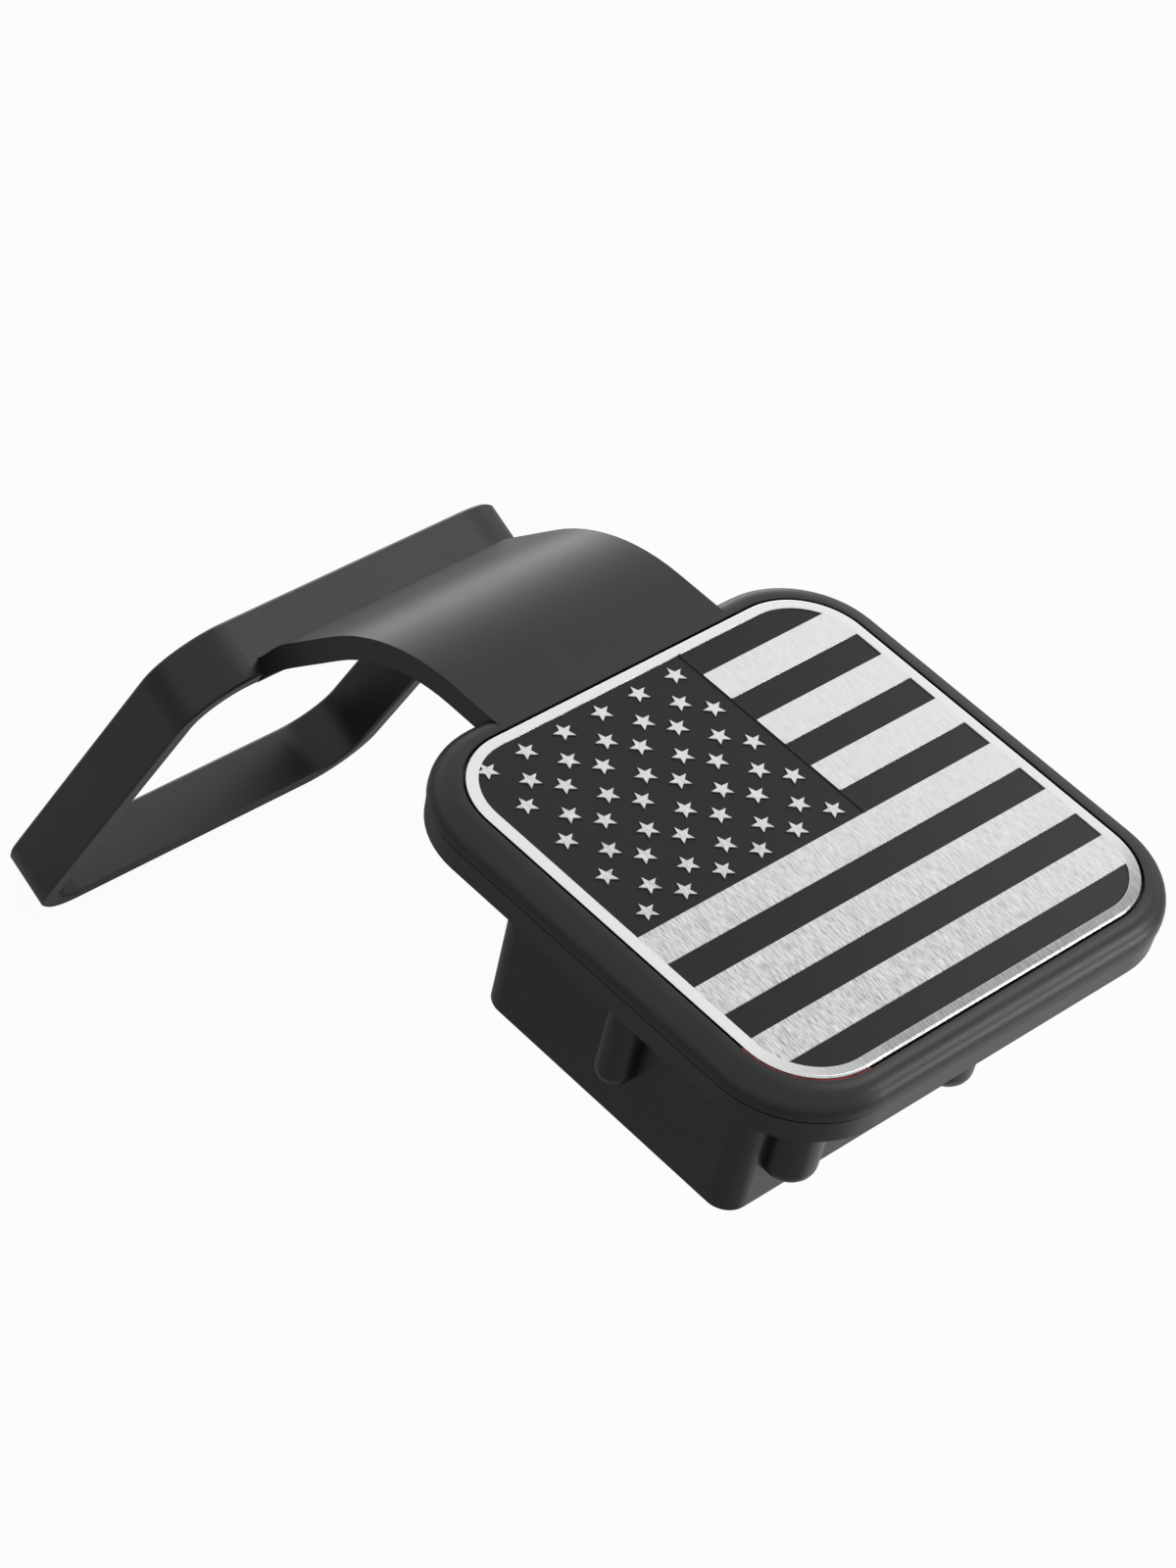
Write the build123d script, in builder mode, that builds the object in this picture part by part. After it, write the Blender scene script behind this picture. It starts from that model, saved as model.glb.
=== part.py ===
from build123d import *
import math
import os

# Cover for the open end of a trailer hitch receiver tube. One rubber moulding holds the square
# face, the hollow plug with its grip ribs, the tether strap and the square loop at its end. A
# pressed metal flag emblem lies in a shallow recess of the face on a sheet of adhesive tape,
# and dark enamel fills the sunk fields of the emblem.
# All sizes are in millimetres. The origin is the centre of the back of the face, which seats on
# the tube. +Z points out of the face, +Y towards the strap and +X across the stripes.

# Receiver tube that the plug goes into
receiver_bore = 50.8

# Face of the cover
face_width = 71.0
face_corner = 13.3
face_height = 6.88
parting_height = 3.36
parting_step = 0.13
parting_groove_height = 0.17
parting_groove_depth = 0.35
skirt_draft = 2.2
rim_rounding = 3.15

# Plug, open at its far end
plug_clearance = 3.2
plug_length = 31.2
plug_corner = 3.5
plug_draft = 0.5
plug_wall = 4.0
plug_end_rounding = 0.6
plug_shift = 2.35

# Grip ribs on the plug: a pair away from the strap, one towards it and one on each side
large_rib_radius = 3.67
pair_rib_spacing = 27.6
large_rib_squeeze = 1.0
large_rib_length = 25.9
side_rib_radius = 2.6
side_rib_squeeze = 0.0
side_rib_length = 24.0
side_rib_shift = -1.3
rib_end_rounding = 2.0

# Tether strap
strap_width = 38.2
strap_shift = -0.56
strap_thickness = 3.17
strap_flat_length = 5.4
strap_bend_radius = 29.9
strap_slope = 43.5
strap_slope_length = 10.0
strap_tip_radius = 12.0
strap_tip_slope = 57.5
strap_tip_length = 4.33
strap_root_depth = 3.4

# Loop that goes round the outside of the receiver tube
loop_width = 59.5
loop_height = 66.5
loop_corner = 9.2
loop_band_width = 8.33
loop_thickness = 2.78
loop_tilt = 22.6
loop_shift = -0.35
loop_crease_inset = 1.98
loop_edge_chamfer = 0.3
crease_groove_radius = 0.15

# Emblem plate and the recess that it lies in
plate_width = 63.5
plate_corner = 9.9
plate_thickness = 0.7
plate_edge_rounding = 0.35
plate_shift = -0.29
plate_proud = 0.17
recess_gap = 0.35
tape_thickness = 0.35
tape_inset = 0.2
tape_lip_height = 0.4
tape_lip_width = 0.28
tape_lip_gap = 0.03
tape_lip_reach = 10.3

# Flag of the emblem: sunk dark fields with the stripes and stars standing at plate level
emblem_border = 1.55
field_corner = 8.38
pocket_depth = 0.35
pocket_draft = 25.0
enamel_thickness = 0.15
dark_stripe_height = 4.45
light_stripe_height = 4.95
stripe_rise = 0.16
dark_stripe_count = 7
short_stripe_count = 4
canton_width = 38.1
canton_line = 0.15

# Stars of the canton
star_points = 5
star_rows = 9
star_long_row = 6
star_radius = 1.7
star_inner_share = 0.42
star_top_share = 0.86
star_half_step = 3.115
star_row_pitch = 3.44
star_margin_x = 3.92
star_margin_y = 2.47
star_odd_shift_x = 0.18
star_odd_shift_y = -0.47

os.makedirs("parts", exist_ok=True)

# Planes and places worked out from the sizes above
face_half = face_width / 2
back_down = Plane(origin=(0, 0, 0), x_dir=(1, 0, 0), z_dir=(0, 0, -1))
skirt_height = parting_height - parting_groove_height
skirt_down = Plane(origin=(0, 0, skirt_height), x_dir=(1, 0, 0), z_dir=(0, 0, -1))
plug_width = receiver_bore - 2 * plug_clearance
recess_depth = plate_thickness + tape_thickness - plate_proud
recess_floor = face_height - recess_depth
plate_base = recess_floor + tape_thickness
plate_top = plate_base + plate_thickness
plate_half = plate_width / 2
pocket_floor = plate_top - pocket_depth
enamel_top = pocket_floor + enamel_thickness
field_width = plate_width - 2 * emblem_border
field_half = field_width / 2
stripe_top = plate_shift + field_half + stripe_rise

# Side view of the strap as points (y, z): flat, round bend, straight slope, steeper tip
slope = math.radians(strap_slope)
tip_slope = math.radians(strap_tip_slope)
slope_along = Vector(math.cos(slope), -math.sin(slope))
bend_start = Vector(face_half + strap_flat_length, face_height)
bend_centre = bend_start - Vector(0, strap_bend_radius)
inner_bend_radius = strap_bend_radius - strap_thickness


def point_on_bend(centre, radius, turn):
    """Point of an arc over the centre, turned towards the loop by the given angle."""
    return centre + Vector(math.sin(turn), math.cos(turn)) * radius


bend_middle = point_on_bend(bend_centre, strap_bend_radius, slope / 2)
bend_end = point_on_bend(bend_centre, strap_bend_radius, slope)
slope_end = bend_end + slope_along * strap_slope_length
tip_centre = point_on_bend(slope_end, -strap_tip_radius, slope)
tip_middle = point_on_bend(tip_centre, strap_tip_radius, (slope + tip_slope) / 2)
tip_start = point_on_bend(tip_centre, strap_tip_radius, tip_slope)
lower_bend_start = bend_start - Vector(0, strap_thickness)
lower_bend_middle = point_on_bend(bend_centre, inner_bend_radius, slope / 2)
lower_bend_end = point_on_bend(bend_centre, inner_bend_radius, slope)
lower_slope_end = point_on_bend(slope_end, -strap_thickness, slope)

# The crease is where the strap's top meets the loop's outer face, inset from its near edge
tilt = math.radians(loop_tilt)
loop_axis = Vector(math.cos(tilt), math.sin(tilt))
loop_up = Vector(-math.sin(tilt), math.cos(tilt))
crease = tip_start + Vector(math.cos(tip_slope), -math.sin(tip_slope)) * strap_tip_length
near_edge = crease - loop_axis * loop_crease_inset
near_inner_edge = near_edge - loop_up * loop_thickness
loop_centre = near_edge + loop_axis * (loop_band_width / 2) - loop_up * (loop_height / 2)

# Grip ribs, made as round studs that stand half in the plug's walls
large_rib_place = receiver_bore / 2 + large_rib_squeeze - large_rib_radius
side_rib_place = receiver_bore / 2 + side_rib_squeeze - side_rib_radius

with BuildPart() as large_ribs:
    with BuildSketch(back_down):
        near_side = large_rib_place - plug_shift
        strap_side = -large_rib_place - plug_shift
        pair_half = pair_rib_spacing / 2
        with Locations((-pair_half, near_side), (pair_half, near_side), (0, strap_side)):
            Circle(large_rib_radius)
    extrude(amount=large_rib_length)
    fillet(large_ribs.faces().group_by(Axis.Z)[0].edges(), rib_end_rounding)

with BuildPart() as side_ribs:
    with BuildSketch(back_down):
        side_rib_y = -plug_shift - side_rib_shift
        with Locations((-side_rib_place, side_rib_y), (side_rib_place, side_rib_y)):
            Circle(side_rib_radius)
    extrude(amount=side_rib_length)
    fillet(side_ribs.faces().group_by(Axis.Z)[0].edges(), rib_end_rounding)

# Plug: drafted square tube, closed by the face and open at its far end
with BuildPart() as plug:
    with BuildSketch(back_down):
        with Locations((0, -plug_shift)):
            RectangleRounded(plug_width, plug_width, plug_corner)
    extrude(amount=plug_length, taper=plug_draft)
    fillet(plug.faces().sort_by(Axis.Z)[0].edges(), plug_end_rounding)

# Cavity of the plug, cut from the rubber after the ribs are joined to it
cavity_width = plug_width - 2 * plug_wall
cavity_corner = plug_corner / 2
with BuildPart() as plug_cavity:
    with BuildSketch(back_down):
        with Locations((0, -plug_shift)):
            RectangleRounded(cavity_width, cavity_width, cavity_corner)
    extrude(amount=plug_length)

# Tether strap: its side view run across its width
with BuildPart() as strap:
    with BuildSketch(Plane.YZ.offset(strap_shift)):
        with BuildLine():
            root_top = Vector(face_half - strap_root_depth, face_height)
            root_bottom = root_top - Vector(0, strap_thickness)
            Line(root_top, bend_start)
            ThreePointArc(bend_start, bend_middle, bend_end)
            Line(bend_end, slope_end)
            ThreePointArc(slope_end, tip_middle, tip_start)
            Line(tip_start, crease)
            Line(crease, near_inner_edge)
            TangentArc(lower_slope_end, near_inner_edge, tangent=slope_along)
            Line(lower_slope_end, lower_bend_end)
            ThreePointArc(lower_bend_end, lower_bend_middle, lower_bend_start)
            Line(lower_bend_start, root_bottom)
            Line(root_bottom, root_top)
        make_face()
    extrude(amount=strap_width / 2, both=True)

# Loop: rounded square band round a tilted axis
loop_plane = Plane(
    origin=(loop_shift, loop_centre.X, loop_centre.Y),
    x_dir=(1, 0, 0),
    z_dir=(0, loop_axis.X, loop_axis.Y),
)
with BuildPart() as loop:
    with BuildSketch(loop_plane):
        RectangleRounded(loop_width, loop_height, loop_corner)
        RectangleRounded(
            loop_width - 2 * loop_thickness,
            loop_height - 2 * loop_thickness,
            loop_corner - loop_thickness,
            mode=Mode.SUBTRACT,
        )
    extrude(amount=loop_band_width / 2, both=True)
    sides = loop.faces().filter_by(loop_plane)
    chamfer(sides.edges(), loop_edge_chamfer)

# Rubber moulding: face with its rounded rim, parting groove and drafted skirt, then the plug,
# ribs, strap and loop, and a fine groove in the crease between strap and loop
with BuildPart() as rubber_body:
    with BuildSketch(Plane.XY.offset(parting_height)):
        RectangleRounded(face_width, face_width, face_corner)
    extrude(amount=face_height - parting_height)
    fillet(rubber_body.faces().sort_by(Axis.Z)[-1].edges(), rim_rounding)
    with BuildSketch(Plane.XY.offset(skirt_height)):
        core_width = face_width - 2 * parting_groove_depth
        RectangleRounded(core_width, core_width, face_corner - parting_groove_depth)
    extrude(amount=parting_groove_height)
    with BuildSketch(skirt_down):
        skirt_width = face_width - 2 * parting_step
        RectangleRounded(skirt_width, skirt_width, face_corner - parting_step)
    extrude(amount=skirt_height, taper=skirt_draft)
    add(strap.part)
    add(loop.part)
    add(plug.part)
    add(large_ribs.part)
    add(side_ribs.part)
    add(plug_cavity.part, mode=Mode.SUBTRACT)
    with BuildSketch(Plane.YZ.offset(strap_shift)):
        with Locations(crease):
            Circle(crease_groove_radius)
    extrude(amount=strap_width / 2, both=True, mode=Mode.SUBTRACT)
    with BuildSketch(Plane.XY.offset(recess_floor)):
        with Locations((0, plate_shift)):
            recess_width = plate_width + 2 * recess_gap
            RectangleRounded(recess_width, recess_width, plate_corner + recess_gap)
    extrude(amount=recess_depth, mode=Mode.SUBTRACT)

# Adhesive tape under the plate, with an upturned lip where it is squeezed out at one corner
with BuildPart() as adhesive_tape:
    with BuildSketch(Plane.XY.offset(recess_floor)):
        with Locations((0, plate_shift)):
            tape_width = plate_width - 2 * tape_inset
            RectangleRounded(tape_width, tape_width, plate_corner - tape_inset)
    extrude(amount=tape_thickness)
    with BuildSketch(Plane.XY.offset(recess_floor)) as lip_base:
        with Locations((0, plate_shift)):
            lip_outer = plate_width + 2 * tape_lip_width
            lip_inner = plate_width - 2 * tape_inset
            RectangleRounded(lip_outer, lip_outer, plate_corner + tape_lip_width)
            RectangleRounded(
                lip_inner, lip_inner, plate_corner - tape_inset, mode=Mode.SUBTRACT
            )
        with Locations((-plate_half, plate_shift - plate_half)):
            Circle(tape_lip_reach, mode=Mode.INTERSECT)
    extrude(amount=tape_thickness)
    with BuildSketch(Plane.XY.offset(plate_base)) as lip_rise:
        with Locations((0, plate_shift)):
            lip_foot = plate_width + 2 * tape_lip_gap
            RectangleRounded(lip_outer, lip_outer, plate_corner + tape_lip_width)
            RectangleRounded(
                lip_foot, lip_foot, plate_corner + tape_lip_gap, mode=Mode.SUBTRACT
            )
        with Locations((-plate_half, plate_shift - plate_half)):
            Circle(tape_lip_reach, mode=Mode.INTERSECT)
    extrude(amount=tape_lip_height)


def star_outline(radius):
    """Corners of a star with one point along +Y, outer and inner ones in turn."""
    corners = []
    for corner in range(2 * star_points):
        reach = radius if corner % 2 == 0 else radius * star_inner_share
        angle = math.pi / 2 + corner * math.pi / star_points
        corners.append((reach * math.cos(angle), reach * math.sin(angle)))
    return corners


# One raised star, bevelled from its foot to its smaller top
with BuildPart() as star:
    with BuildSketch(Plane.XY.offset(pocket_floor)):
        Polygon(*star_outline(star_radius), align=None)
    with BuildSketch(Plane.XY.offset(plate_top)):
        Polygon(*star_outline(star_radius * star_top_share), align=None)
    loft(ruled=True)

# Places of the stars: rows of six and of five in turn, half a step apart
star_places = []
for row in range(star_rows):
    odd = row % 2
    for column in range(star_long_row - odd):
        star_x = -field_half + star_margin_x + star_half_step * (2 * column + odd)
        star_y = plate_shift + field_half - star_margin_y - star_row_pitch * row
        star_places.append((star_x + odd * star_odd_shift_x, star_y + odd * star_odd_shift_y, 0))

# Sunk fields of the emblem, drawn at plate level
stripe_pitch = dark_stripe_height + light_stripe_height
canton_height = stripe_pitch * (short_stripe_count - 1) + dark_stripe_height
with BuildSketch(Plane.XY.offset(plate_top)) as canton_field:
    with Locations((-field_half, stripe_top)):
        Rectangle(canton_width, canton_height, align=(Align.MIN, Align.MAX))
    with Locations((0, plate_shift)):
        RectangleRounded(field_width, field_width, field_corner, mode=Mode.INTERSECT)

with BuildSketch(Plane.XY.offset(plate_top)) as stripe_fields:
    for stripe in range(dark_stripe_count):
        short = stripe < short_stripe_count
        stripe_left = canton_width + canton_line - field_half if short else -field_half
        with Locations((stripe_left, stripe_top - stripe * stripe_pitch)):
            Rectangle(
                field_half - stripe_left, dark_stripe_height, align=(Align.MIN, Align.MAX)
            )
    with Locations((0, plate_shift)):
        RectangleRounded(field_width, field_width, field_corner, mode=Mode.INTERSECT)

# Pockets of the sunk fields, narrower at their floor
with BuildPart() as canton_pocket:
    extrude(canton_field.sketch, amount=pocket_depth, dir=(0, 0, -1), taper=pocket_draft)

with BuildPart() as stripe_pockets:
    extrude(stripe_fields.sketch, amount=pocket_depth, dir=(0, 0, -1), taper=pocket_draft)

# Emblem plate: rounded edge, sunk fields and raised stars
with BuildPart() as emblem_plate:
    with BuildSketch(Plane.XY.offset(plate_base)):
        with Locations((0, plate_shift)):
            RectangleRounded(plate_width, plate_width, plate_corner)
    extrude(amount=plate_thickness)
    fillet(emblem_plate.faces().sort_by(Axis.Z)[-1].edges(), plate_edge_rounding)
    add(canton_pocket.part, mode=Mode.SUBTRACT)
    add(stripe_pockets.part, mode=Mode.SUBTRACT)
    with Locations(*star_places):
        add(star.part)

# Enamel in the bottom of the pockets
with BuildPart() as canton_enamel:
    add(canton_pocket.part)
    split(bisect_by=Plane.XY.offset(enamel_top), keep=Keep.BOTTOM)
    with Locations(*star_places):
        add(star.part, mode=Mode.SUBTRACT)

with BuildPart() as stripe_enamel:
    add(stripe_pockets.part)
    split(bisect_by=Plane.XY.offset(enamel_top), keep=Keep.BOTTOM)

rubber_body.part.label = "rubber_body"
adhesive_tape.part.label = "adhesive_tape"
emblem_plate.part.label = "emblem_plate"
canton_enamel.part.label = "canton_enamel"
stripe_enamel.part.label = "stripe_enamel"

export_step(rubber_body.part, "parts/rubber_body.step")
export_step(adhesive_tape.part, "parts/adhesive_tape.step")
export_step(emblem_plate.part, "parts/emblem_plate.step")
export_step(canton_enamel.part, "parts/canton_enamel.step")
export_step(stripe_enamel.part, "parts/stripe_enamel.step")
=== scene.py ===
"""Looks of a hitch receiver cover: its finishes, its studio and the photograph's camera.

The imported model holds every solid, so the pieces keep their CAD shapes. This script gives each
of them a finish worked out from Object coordinates, lays a pale floor under the tether loop,
hangs soft light panels round the object and sets the camera where the photograph was taken.
"""

import logging
import math
from dataclasses import dataclass
from enum import Enum

import bpy
import numpy as np
from mathutils import Matrix, Vector


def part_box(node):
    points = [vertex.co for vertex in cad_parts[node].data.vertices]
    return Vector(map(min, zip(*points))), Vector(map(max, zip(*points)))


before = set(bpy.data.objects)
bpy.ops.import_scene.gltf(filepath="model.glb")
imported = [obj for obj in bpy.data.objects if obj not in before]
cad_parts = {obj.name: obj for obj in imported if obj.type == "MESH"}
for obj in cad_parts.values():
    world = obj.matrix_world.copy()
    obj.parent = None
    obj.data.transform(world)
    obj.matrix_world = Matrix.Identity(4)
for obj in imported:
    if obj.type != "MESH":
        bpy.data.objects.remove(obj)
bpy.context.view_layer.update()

LOG = logging.getLogger("hitch_cover")
MM = 0.001

# Noise lies between 0 and 1, so a swing about a middle value is taken from here.
NOISE_MIDDLE = 0.5

# Sockets of a colour Mix node by number, because its names repeat for each data type.
MIX_FACTOR = 0
MIX_FIRST = 6
MIX_SECOND = 7
MIX_RESULT = 2

Span = tuple[float, float]
Place = tuple[float, float, float]
Colour = tuple[float, float, float]


class Slot(Enum):
    """Material slots of the record that the finishes stand for."""

    RUBBER = "rubber"
    PLATE = "plate"
    ENAMEL = "enamel"
    TAPE = "tape"

    @property
    def finish_name(self) -> str:
        """Name of the material that stands for the slot."""
        return f"{self.value}_finish"


class Wire:
    """A node socket that adds Math nodes when it is used in a Python expression."""

    def __init__(self, shop: "NodeShop", socket: bpy.types.NodeSocket | None) -> None:
        """Keeps the socket and the node tree's shop.

        Args:
            shop: Maker of nodes for the tree that the socket is in.
            socket: Output socket that carries the value, or None behind a node that ends a tree.
        """
        self.shop = shop
        self.socket = socket

    def _math(self, operation: str, *values: "Wire | float") -> "Wire":
        """Adds one Math node for an operation on values and returns its output."""
        settings = {"operation": operation}
        return self.shop.add("ShaderNodeMath", settings, dict(enumerate(values)))

    def __add__(self, other: "Wire | float") -> "Wire":
        """Sum of two values."""
        return self._math("ADD", self, other)

    __radd__ = __add__

    def __sub__(self, other: "Wire | float") -> "Wire":
        """This value less another."""
        return self._math("SUBTRACT", self, other)

    def __rsub__(self, other: float) -> "Wire":
        """A number less this value."""
        return self._math("SUBTRACT", other, self)

    def __mul__(self, other: "Wire | float") -> "Wire":
        """Product of two values."""
        return self._math("MULTIPLY", self, other)

    __rmul__ = __mul__

    def __abs__(self) -> "Wire":
        """Size of this value without its sign."""
        return self._math("ABSOLUTE", self)

    def root(self) -> "Wire":
        """Square root."""
        return self._math("SQRT", self)

    def largest(self, other: "Wire | float") -> "Wire":
        """Larger of two values."""
        return self._math("MAXIMUM", self, other)

    def smallest(self, other: "Wire | float") -> "Wire":
        """Smaller of two values."""
        return self._math("MINIMUM", self, other)

    def wrapped(self, period: float) -> "Wire":
        """Remainder of this value in a repeating period."""
        return self._math("FLOORED_MODULO", self, period)

    def outputs(self, count: int) -> tuple["Wire", ...]:
        """First outputs of the node that this value comes from."""
        return tuple(Wire(self.shop, self.socket.node.outputs[slot]) for slot in range(count))

    def ramp(self, low: float, high: float, out_low: float = 0.0, out_high: float = 1.0) -> "Wire":
        """Value carried from one range to another with soft ends and held outside it.

        Args:
            low: Value that gives out_low.
            high: Value that gives out_high.
            out_low: Result at and before low.
            out_high: Result at and after high.

        Returns:
            The carried value.
        """
        settings = {"interpolation_type": "SMOOTHSTEP"}
        values = {
            "Value": self,
            "From Min": low,
            "From Max": high,
            "To Min": out_low,
            "To Max": out_high,
        }
        return self.shop.add("ShaderNodeMapRange", settings, values)


class NodeShop:
    """Makes the nodes of one node tree."""

    def __init__(self, tree: bpy.types.NodeTree) -> None:
        """Clears the tree and keeps it.

        Args:
            tree: Node tree of a material or of the world.
        """
        self.tree = tree
        tree.nodes.clear()

    def add(
        self,
        kind: str,
        settings: dict[str, object] | None = None,
        values: dict[object, object] | None = None,
        output: int | str = 0,
    ) -> Wire:
        """Adds a node, sets it up and fills its sockets.

        Args:
            kind: Blender's name for the node type.
            settings: Properties of the node, set first.
            values: Numbers, colours or wires for its input sockets, by name or by number.
            output: Output socket to return.

        Returns:
            The chosen output as a wire.
        """
        node = self.tree.nodes.new(kind)
        for name, value in (settings or {}).items():
            setattr(node, name, value)
        for name, value in (values or {}).items():
            if isinstance(value, Wire):
                self.tree.links.new(value.socket, node.inputs[name])
            else:
                node.inputs[name].default_value = value
        has_output = len(node.outputs) > 0
        return Wire(self, node.outputs[output] if has_output else None)

    def place_mm(self) -> tuple[Wire, Wire, Wire]:
        """Object coordinates in millimetres.

        Returns:
            X, Y and Z of the shaded point.
        """
        point = self.add("ShaderNodeTexCoord", output="Object")
        values = {"Vector": point, "Scale": 1 / MM}
        scaled = self.add("ShaderNodeVectorMath", {"operation": "SCALE"}, values)
        return self.add("ShaderNodeSeparateXYZ", {}, {"Vector": scaled}).outputs(3)

    def noise(self, spacing: Place, detail: float, turn: float = 0.0, shift: float = 0.0) -> Wire:
        """Smooth noise between 0 and 1 with its own grain size along each axis.

        Args:
            spacing: Size of one grain along X, Y and Z in millimetres.
            detail: Number of finer layers.
            turn: Turn of the pattern about Z in degrees.
            shift: Offset that gives another pattern.

        Returns:
            The noise value.
        """
        point = self.add("ShaderNodeTexCoord", output="Object")
        turned = self.add(
            "ShaderNodeMapping",
            {"vector_type": "POINT"},
            {"Vector": point, "Rotation": (0.0, 0.0, math.radians(turn))},
        )
        scale = tuple(1 / (size * MM) for size in spacing)
        grain = self.add(
            "ShaderNodeMapping",
            {"vector_type": "POINT"},
            {"Vector": turned, "Scale": scale, "Location": (shift,) * 3},
        )
        values = {"Vector": grain, "Scale": 1.0, "Detail": detail}
        return self.add("ShaderNodeTexNoise", {}, values)

    def blend(self, mask: Wire, first: Wire | Colour, second: Wire | Colour) -> Wire:
        """Mixes two colours by a mask.

        Args:
            mask: 0 for the first colour and 1 for the second.
            first: Colour where the mask is 0.
            second: Colour where the mask is 1.

        Returns:
            The mixed colour.
        """
        start, end = (c if isinstance(c, Wire) else (*c, 1.0) for c in (first, second))
        settings = {"data_type": "RGBA", "clamp_factor": True}
        values = {MIX_FACTOR: mask, MIX_FIRST: start, MIX_SECOND: end}
        return self.add("ShaderNodeMix", settings, values, MIX_RESULT)

    def bump(self, height: Wire, depth_mm: float, strength: float) -> Wire:
        """Normal tilted by a height field.

        Args:
            height: Height from 0 to 1.
            depth_mm: Real height of the field in millimetres.
            strength: Share of the tilt that is kept.

        Returns:
            The tilted normal.
        """
        values = {"Height": height, "Distance": depth_mm * MM, "Strength": strength}
        return self.add("ShaderNodeBump", {}, values)

    def surface(self, values: dict[str, object]) -> None:
        """Ends the tree with a Principled surface that takes the given socket values."""
        shader = self.add("ShaderNodeBsdfPrincipled", {}, values, "BSDF")
        self.add("ShaderNodeOutputMaterial", {}, {"Surface": shader})


def rounded_square_distance(x: Wire, y: Wire, width: float, corner: float) -> Wire:
    """Signed distance in the XY plane from a rounded square, negative inside it.

    The point is folded into one quadrant and moved by the corner's centre. Outside that centre
    the distance is the length of what is left, less the corner radius. Inside it, the distance is
    the larger of the two coordinates, less the radius.

    Args:
        x: X from the square's centre in millimetres.
        y: Y from the square's centre in millimetres.
        width: Width of the square in millimetres.
        corner: Corner radius in millimetres.

    Returns:
        The distance in millimetres.
    """
    side = width / 2 - corner
    over_x = abs(x) - side
    over_y = abs(y) - side
    out_x = over_x.largest(0.0)
    out_y = over_y.largest(0.0)
    outside = (out_x * out_x + out_y * out_y).root()
    inside = over_x.largest(over_y).smallest(0.0)
    return outside + inside - corner


@dataclass(frozen=True)
class MouldedRubber:
    """Satin black rubber with a fine mould texture, and painted shade in its parting groove."""

    colour: Colour = (0.0085, 0.0083, 0.0083)
    worn_colour: Colour = (0.0125, 0.0122, 0.0120)
    cloud_mm: float = 9.0
    cloud_detail: float = 3.0
    cloud_range: Span = (0.30, 0.75)
    roughness: float = 0.37
    roughness_swing: float = 0.07
    grain_mm: float = 0.16
    grain_detail: float = 2.0
    grain_depth_mm: float = 0.012
    grain_gloss: float = 0.06
    grain_strength: float = 0.35
    groove_z_mm: float = 3.275
    groove_half_mm: float = 0.13
    groove_fade_mm: float = 0.05
    groove_past_plate_mm: Span = (4.0, 5.0)
    # Painted shade in the parting groove: a darker colour, more roughness and a metallic value
    # that takes away its gloss.
    groove_shade: float = 0.12
    groove_roughness: float = 0.4
    groove_shade_metallic: float = 0.8
    refraction: float = 1.5

    def build(self) -> bpy.types.Material:
        """Makes the material.

        Returns:
            The material, named after its slot.
        """
        material, shop = new_material(Slot.RUBBER.finish_name)
        _, y, z = shop.place_mm()
        cloud = shop.noise((self.cloud_mm,) * 3, self.cloud_detail)
        grain = shop.noise((self.grain_mm,) * 3, self.grain_detail)
        # The parting groove is darkened and its gloss taken away: painted shade.
        groove_shade_mask = self._groove(y, z)
        skin = shop.blend(cloud.ramp(*self.cloud_range), self.colour, self.worn_colour)
        shade = tuple(self.groove_shade * part for part in self.colour)
        gloss = self.roughness_swing * (cloud - NOISE_MIDDLE)
        gloss = gloss + self.grain_gloss * (grain - NOISE_MIDDLE)
        shop.surface(
            {
                "Base Color": shop.blend(groove_shade_mask, skin, shade),
                "Metallic": self.groove_shade_metallic * groove_shade_mask,
                "Roughness": self.roughness + gloss + self.groove_roughness * groove_shade_mask,
                "Normal": shop.bump(grain, self.grain_depth_mm, self.grain_strength),
                "IOR": self.refraction,
            }
        )
        return material

    def _groove(self, y: Wire, z: Wire) -> Wire:
        """Mask of the groove's painted shade, a level line round the face that leaves out the
        strap.

        Args:
            y: Y in millimetres.
            z: Z in millimetres.

        Returns:
            1 in the groove and 0 off it.
        """
        edge = self.groove_half_mm + self.groove_fade_mm
        off_groove = abs(z - self.groove_z_mm).ramp(self.groove_half_mm, edge)
        plate_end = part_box("emblem_plate")[1][1] / MM
        stop_from, stop_to = (plate_end + past for past in self.groove_past_plate_mm)
        return (1 - off_groove) * (1 - y.ramp(stop_from, stop_to))


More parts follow.
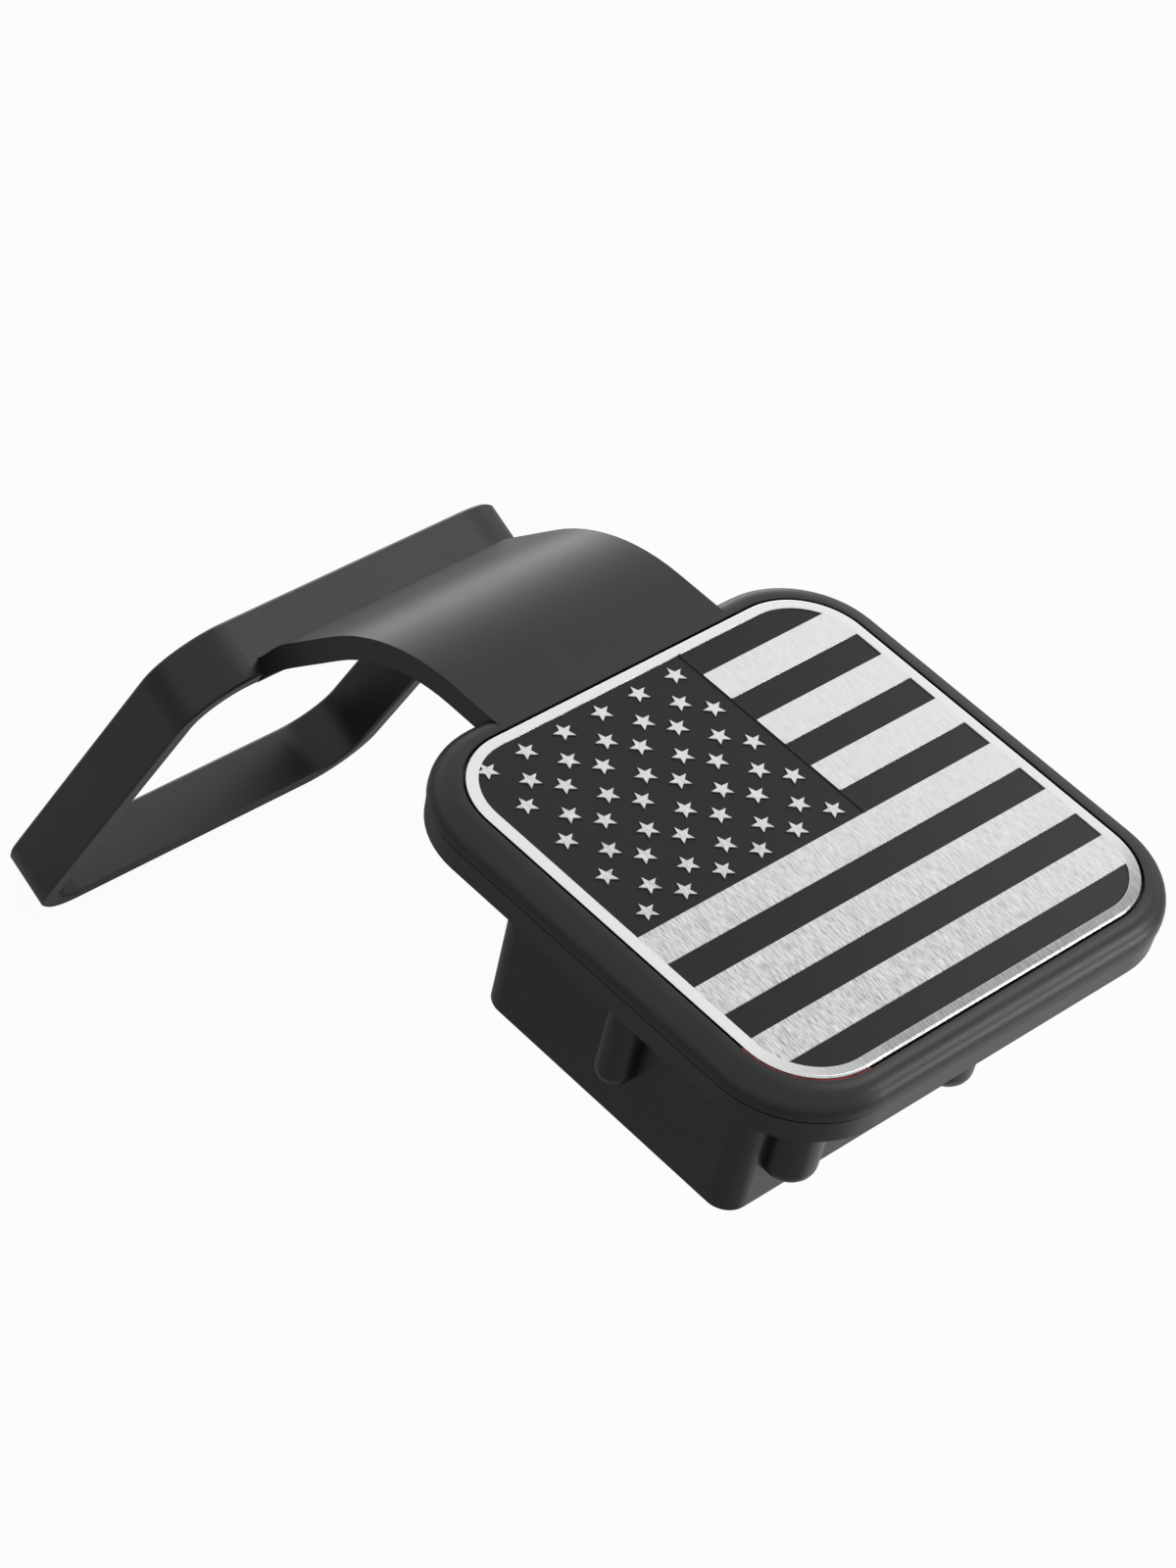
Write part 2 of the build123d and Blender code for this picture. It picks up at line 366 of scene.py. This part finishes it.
@dataclass(frozen=True)
class BrushedPlate:
    """Brushed aluminium: short strokes across the stripes, a bright border, a painted ridge.

    The strokes are deepest at the corner away from the strap and fade towards the opposite one;
    the metal's colour darkens with them, which is painted shade.
    They run out over the border on the side away from the strap, where painted shade makes it
    greyer.
    Dark paint creeps up the foot of each pocket's walls, standing for enamel there and for painted
    shade at their foot, and covers the ridge between the canton and the short stripes.
    """

    dark: Colour = (0.40, 0.413, 0.425)
    light: Colour = (0.905, 0.90, 0.91)
    border: Colour = (0.96, 0.96, 0.96)
    # Greys of the painted shade on the border's side away from the strap.
    border_shade_pale: Colour = (0.52, 0.52, 0.525)
    border_shade_deep: Colour = (0.30, 0.305, 0.31)
    # Dark paint on the ridge; on the foot of the pocket walls it is also painted shade.
    paint: Colour = (0.004, 0.004, 0.004)
    roughness: float = 0.27
    roughness_swing: float = 0.16
    border_roughness: float = 0.20
    paint_roughness: float = 0.5
    stroke_mm: Span = (0.08, 1.3)
    long_stroke_mm: Span = (0.15, 3.6)
    long_stroke_shift: float = 3.7
    stroke_through_mm: float = 1.0
    stroke_detail: float = 1.5
    fine_share: float = 0.65
    stroke_turn: float = 6.0
    stroke_tone: Span = (0.36, 0.60)
    stroke_depth_mm: float = 0.006
    stroke_strength: float = 0.35
    # The fade of the strokes' depth, which also darkens the metal as painted shade.
    fade_mm: Span = (-44.0, 34.0)
    fade_rest: float = 0.22
    border_edge_mm: Span = (-0.05, 0.12)
    # Where the border's painted shade lies, and its least share along X.
    border_shade_y_mm: Span = (-31.0, -20.0)
    border_shade_x_mm: Span = (-31.0, -14.0)
    border_shade_least: float = 0.45
    paint_edge_mm: float = 0.02
    bare_wall_mm: float = 0.10
    # Layout of the pressed sheet: the square inside the border, the canton, the ridge beside it,
    # the slope of the sunk fields' walls, and the rows of dark and bright stripes.
    field_mm: float = 60.4
    field_corner_mm: float = 8.38
    canton_mm: float = 38.1
    ridge_mm: float = 0.15
    wall_mm: float = 0.11
    dark_row_mm: float = 4.45
    row_pitch_mm: float = 9.4
    row_rise_mm: float = 0.16
    short_rows: int = 4

    def build(self) -> bpy.types.Material:
        """Makes the material.

        Returns:
            The material, named after its slot.
        """
        material, shop = new_material(Slot.PLATE.finish_name)
        low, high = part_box("emblem_plate")
        x, y, z = shop.place_mm()
        y = y - (low[1] + high[1]) / (2 * MM)
        strokes = self._strokes(shop)
        # Painted shade: the metal darkens with the strokes' depth towards the corner away from the
        # strap.
        stroke_depth_and_shade = (x + y).ramp(*self.fade_mm, 1.0, self.fade_rest)
        tone = 1 - stroke_depth_and_shade * (1 - strokes.ramp(*self.stroke_tone))
        brushed = shop.blend(tone, self.dark, self.light)
        distance = rounded_square_distance(x, y, self.field_mm, self.field_corner_mm)
        on_border = distance.ramp(*self.border_edge_mm)
        metal = shop.blend(on_border, brushed, self._border_metal(shop, x, y, strokes))
        # Dark paint up the foot of the pocket walls: enamel there, and painted shade at their
        # foot.
        bare = high[2] / MM - self.bare_wall_mm
        foot = 1 - z.ramp(bare - self.paint_edge_mm, bare)
        painted = self._ridge_paint(x, y).largest(foot) * (1 - on_border)
        rough = self.roughness + self.roughness_swing * (strokes - NOISE_MIDDLE)
        rough = rough + (self.border_roughness - self.roughness) * on_border
        height = strokes * stroke_depth_and_shade * (1 - on_border)
        shop.surface(
            {
                "Base Color": shop.blend(painted, metal, self.paint),
                "Metallic": 1 - painted,
                "Roughness": rough + (self.paint_roughness - self.roughness) * painted,
                "Normal": shop.bump(height, self.stroke_depth_mm, self.stroke_strength),
            }
        )
        return material

    def _strokes(self, shop: NodeShop) -> Wire:
        """Brush strokes, a mix of short fine ones and long broad ones.

        Args:
            shop: Maker of nodes for the material.

        Returns:
            Height of the strokes from 0 to 1.
        """
        grain = (*self.stroke_mm, self.stroke_through_mm)
        fine = shop.noise(grain, self.stroke_detail, self.stroke_turn)
        grain = (*self.long_stroke_mm, self.stroke_through_mm)
        broad = shop.noise(grain, self.stroke_detail, self.stroke_turn, self.long_stroke_shift)
        return self.fine_share * fine + (1 - self.fine_share) * broad

    def _border_metal(self, shop: NodeShop, x: Wire, y: Wire, strokes: Wire) -> Wire:
        """Colour of the border, bright all round, with painted shade, brushed grey, away from the
        strap.

        Args:
            shop: Maker of nodes for the material.
            x: X from the plate's centre in millimetres.
            y: Y from the plate's centre in millimetres.
            strokes: Height of the brush strokes from 0 to 1.

        Returns:
            The colour.
        """
        # Painted shade: the border turns brushed grey on the side away from the strap.
        grey = shop.blend(strokes.ramp(*self.stroke_tone), self.border_shade_deep, self.border_shade_pale)
        border_shade_share = 1 - y.ramp(*self.border_shade_y_mm)
        border_shade_share = border_shade_share * x.ramp(*self.border_shade_x_mm, self.border_shade_least, 1.0)
        return shop.blend(border_shade_share, self.border, grey)

    def _ridge_paint(self, x: Wire, y: Wire) -> Wire:
        """Mask of the paint on the ridge at the canton's straight side.

        The paint starts at the foot of the canton's wall. Beside a bright stripe it ends at the
        canton's edge, and beside a dark stripe it goes on over the ridge and down its far wall.

        Args:
            x: X from the plate's centre in millimetres.
            y: Y from the plate's centre in millimetres.

        Returns:
            1 on the paint and 0 off it.
        """
        side = self.canton_mm - self.field_mm / 2
        first = self.field_mm / 2 + self.row_rise_mm
        last = first - self.row_pitch_mm * (self.short_rows - 1) - self.dark_row_mm
        soft = self.paint_edge_mm
        down_the_row = (first - y).wrapped(self.row_pitch_mm)
        in_row = 1 - down_the_row.ramp(self.dark_row_mm, self.dark_row_mm + soft)
        reach = in_row * (self.ridge_mm + self.wall_mm)
        from_wall = x.ramp(side - self.wall_mm - soft, side - self.wall_mm)
        to_ridge = 1 - (x - reach).ramp(side, side + soft)
        to_last_row = y.ramp(last - self.wall_mm - soft, last - self.wall_mm)
        return from_wall * to_ridge * to_last_row


@dataclass(frozen=True)
class DarkEnamel:
    """Near black enamel with a soft gloss and a faint ripple.

    A painted reflection lightens the enamel from the canton towards the far lower corner of the
    stripes.
    """

    colour: Colour = (0.0030, 0.0034, 0.0030)
    mottle: Colour = (0.0060, 0.0064, 0.0059)
    painted_reflection: Colour = (0.044, 0.044, 0.043)
    painted_reflection_mm: Span = (-20.0, 60.0)
    roughness: float = 0.30
    roughness_swing: float = 0.10
    ripple_mm: float = 0.7
    ripple_detail: float = 3.0
    ripple_depth_mm: float = 0.004
    ripple_strength: float = 0.5
    refraction: float = 1.39

    def build(self) -> bpy.types.Material:
        """Makes the material.

        Returns:
            The material, named after its slot.
        """
        material, shop = new_material(Slot.ENAMEL.finish_name)
        ripple = shop.noise((self.ripple_mm,) * 3, self.ripple_detail)
        x, y, _ = shop.place_mm()
        enamel_own_colour = shop.blend(ripple, self.colour, self.mottle)
        shop.surface(
            {
                # Painted reflection: the enamel lightens from the canton towards the far lower
                # corner.
                "Base Color": shop.blend((x - y).ramp(*self.painted_reflection_mm), enamel_own_colour, self.painted_reflection),
                "Roughness": self.roughness + self.roughness_swing * (ripple - NOISE_MIDDLE),
                "Normal": shop.bump(ripple, self.ripple_depth_mm, self.ripple_strength),
                "IOR": self.refraction,
            }
        )
        return material


@dataclass(frozen=True)
class TapeFilm:
    """Dark red adhesive film with a scuffed edge."""

    colour: Colour = (0.42, 0.022, 0.024)
    scuffed: Colour = (0.10, 0.012, 0.012)
    scuff_mm: float = 0.8
    scuff_detail: float = 3.0
    scuff_range: Span = (0.45, 0.60)
    roughness: float = 0.5
    roughness_swing: float = 0.2

    def build(self) -> bpy.types.Material:
        """Makes the material.

        Returns:
            The material, named after its slot.
        """
        material, shop = new_material(Slot.TAPE.finish_name)
        scuff = shop.noise((self.scuff_mm,) * 3, self.scuff_detail).ramp(*self.scuff_range)
        shop.surface(
            {
                "Base Color": shop.blend(scuff, self.colour, self.scuffed),
                "Roughness": self.roughness + self.roughness_swing * (scuff - NOISE_MIDDLE),
            }
        )
        return material


def new_material(name: str) -> tuple[bpy.types.Material, NodeShop]:
    """Makes an empty node material.

    Args:
        name: Name of the material.

    Returns:
        The material and the shop for its nodes.
    """
    material = bpy.data.materials.new(name)
    material.use_nodes = True
    return material, NodeShop(material.node_tree)


def dress(node: str, material: bpy.types.Material) -> None:
    """Gives a CAD node its finish in every material slot of its object.

    Args:
        node: Name of the CAD node.
        material: Finish to put on it.
    """
    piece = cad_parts[node]
    piece.data.materials.clear()
    piece.data.materials.append(material)
    LOG.info("dressed %s with %s", node, material.name)


@dataclass
class ReceiverCover:
    """The cover: rubber body, emblem plate, its enamel and the tape under it."""

    rubber: MouldedRubber = MouldedRubber()
    plate: BrushedPlate = BrushedPlate()
    enamel: DarkEnamel = DarkEnamel()
    tape: TapeFilm = TapeFilm()

    def build(self) -> None:
        """Dresses every CAD node."""
        enamel = self.enamel.build()
        dress("rubber_body", self.rubber.build())
        dress("emblem_plate", self.plate.build())
        dress("canton_enamel", enamel)
        dress("stripe_enamel", enamel)
        dress("adhesive_tape", self.tape.build())


@dataclass(frozen=True)
class Panel:
    """One soft light panel that faces the object."""

    name: str
    towards: Place
    distance_m: float
    size_m: Span
    radiance: float

    def hang(self, aim: Vector) -> None:
        """Adds the panel as a rectangular area lamp.

        Args:
            aim: Point that the panel faces.
        """
        width, height = self.size_m
        lamp = bpy.data.lights.new(self.name, "AREA")
        lamp.shape = "RECTANGLE"
        lamp.size = width
        lamp.size_y = height
        lamp.energy = self.radiance * math.pi * width * height
        place = Vector(self.towards).normalized() * self.distance_m
        holder = bpy.data.objects.new(self.name, lamp)
        holder.location = aim + place
        holder.rotation_euler = place.to_track_quat("Z", "Y").to_euler()
        holder.visible_camera = False
        bpy.context.scene.collection.objects.link(holder)
        LOG.info("hung %s", self.name)


@dataclass
class Studio:
    """Pale surround, pale floor and soft light panels."""

    aim_mm: Place = (0.0, 20.0, -10.0)
    floor_reach_m: float = 3.0
    floor_gap_m: float = 0.0002
    floor_white: float = 0.95
    floor_paper: Colour = (0.85, 0.85, 0.85)
    surround_colour: Colour = (0.8, 0.8, 0.8)
    surround_soft: float = 0.38
    panels: tuple[Panel, ...] = (
        Panel("key", (0.617, -0.67, 0.409), 0.5, (0.12, 0.10), 8.3),
        Panel("key_low", (0.617, -0.786, 0.0), 0.5, (0.16, 0.06), 9.3),
        Panel("horizon", (0.617, 0.76, 0.20), 0.5, (0.26, 0.10), 0.6),
        Panel("horizon_low", (0.617, 0.78, -0.03), 0.5, (0.26, 0.08), 3.2),
        Panel("near_top", (0.617, -0.14, 0.777), 0.5, (0.16, 0.16), 2.6),
        Panel("near_top_left", (0.40, -0.14, 0.87), 0.5, (0.16, 0.16), 1.4),
        Panel("far_right", (0.80, 0.45, 0.40), 0.5, (0.20, 0.20), 0.35),
    )
    bounce: Panel = Panel("bounce_card", (0.0, 0.0, -1.0), 0.074, (0.16, 0.16), 0.43)
    bounce_aim_mm: Place = (85.0, -95.0, 0.0)

    def build(self) -> None:
        """Builds the surround, the floor and the panels."""
        self._surround()
        self._floor()
        for panel in self.panels:
            panel.hang(Vector(self.aim_mm) * MM)
        self.bounce.hang(Vector(self.bounce_aim_mm) * MM)

    def _surround(self) -> None:
        """World at full strength to the camera, in reflections and through glass.

        The light that it throws on the object is softer, so that the floor keeps its shadow.
        """
        world = bpy.data.worlds.new("surround")
        world.use_nodes = True
        bpy.context.scene.world = world
        shop = NodeShop(world.node_tree)
        camera = shop.add("ShaderNodeLightPath", output="Is Camera Ray")
        glossy = shop.add("ShaderNodeLightPath", output="Is Glossy Ray")
        through = shop.add("ShaderNodeLightPath", output="Is Transmission Ray")
        seen = camera.largest(through).largest(glossy)
        strength = self.surround_soft + (1 - self.surround_soft) * seen
        values = {"Color": (*self.surround_colour, 1.0), "Strength": strength}
        light = shop.add("ShaderNodeBackground", {}, values)
        shop.add("ShaderNodeOutputWorld", {}, {"Surface": light})

    def _floor(self) -> None:
        """Pale floor just under the lowest point of the tether loop."""
        low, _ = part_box("rubber_body")
        reach = self.floor_reach_m
        corners = np.array([(-1, -1), (1, -1), (1, 1), (-1, 1)], dtype=float) * reach
        height = low[2] - self.floor_gap_m
        points = np.column_stack([corners, np.full(len(corners), height)])
        mesh = bpy.data.meshes.new("floor")
        mesh.from_pydata(points.tolist(), [], [(0, 1, 2, 3)])
        floor = bpy.data.objects.new("floor", mesh)
        bpy.context.scene.collection.objects.link(floor)
        floor.data.materials.append(self._floor_finish())

    def _floor_finish(self) -> bpy.types.Material:
        """White paper that keeps a trace of the shadow, and is lit paper in reflections.

        Returns:
            The floor's material.
        """
        material, shop = new_material("floor_paper")
        camera = shop.add("ShaderNodeLightPath", output="Is Camera Ray")
        through = shop.add("ShaderNodeLightPath", output="Is Transmission Ray")
        share = camera.largest(through) * self.floor_white
        paper = shop.add("ShaderNodeBsdfDiffuse", {}, {"Color": (*self.floor_paper, 1.0)})
        glow = shop.add("ShaderNodeEmission", {}, {"Color": (1.0, 1.0, 1.0, 1.0)})
        mixed = shop.add("ShaderNodeMixShader", {}, {0: share, 1: paper, 2: glow})
        shop.add("ShaderNodeOutputMaterial", {}, {"Surface": mixed})
        return material


@dataclass(frozen=True)
class PhotoCamera:
    """Camera of the photograph, in the object's own frame."""

    eye_mm: Place = (-353.18, -235.70, 390.94)
    forward: Place = (0.58869, 0.44721, -0.67338)
    right: Place = (0.71676, -0.67394, 0.17903)
    focal_px: float = 4943.0
    image_px: tuple[int, int] = (1200, 1600)
    sensor_mm: float = 36.0
    clip_start_m: float = 0.01

    def build(self) -> None:
        """Adds the camera and makes it the scene's own.

        The camera's X axis is the view's right, its Z axis points back to the photographer, and
        its Y axis is the cross product of the two. The sensor spans the image's longer side.
        """
        data = bpy.data.cameras.new("photo_camera")
        data.sensor_width = self.sensor_mm
        data.lens = self.focal_px * self.sensor_mm / max(self.image_px)
        data.clip_start = self.clip_start_m
        back = -Vector(self.forward).normalized()
        right = Vector(self.right).normalized()
        up = back.cross(right).normalized()
        turn = Matrix((right, up, back)).transposed().to_4x4()
        camera = bpy.data.objects.new("photo_camera", data)
        camera.matrix_world = Matrix.Translation(Vector(self.eye_mm) * MM) @ turn
        bpy.context.scene.collection.objects.link(camera)
        bpy.context.scene.camera = camera


def main() -> None:
    """Builds the object's looks, the studio and the camera."""
    logging.basicConfig(level=logging.INFO)
    bpy.context.scene.view_settings.view_transform = "Standard"
    ReceiverCover().build()
    Studio().build()
    PhotoCamera().build()


if __name__ == "__main__":
    main()
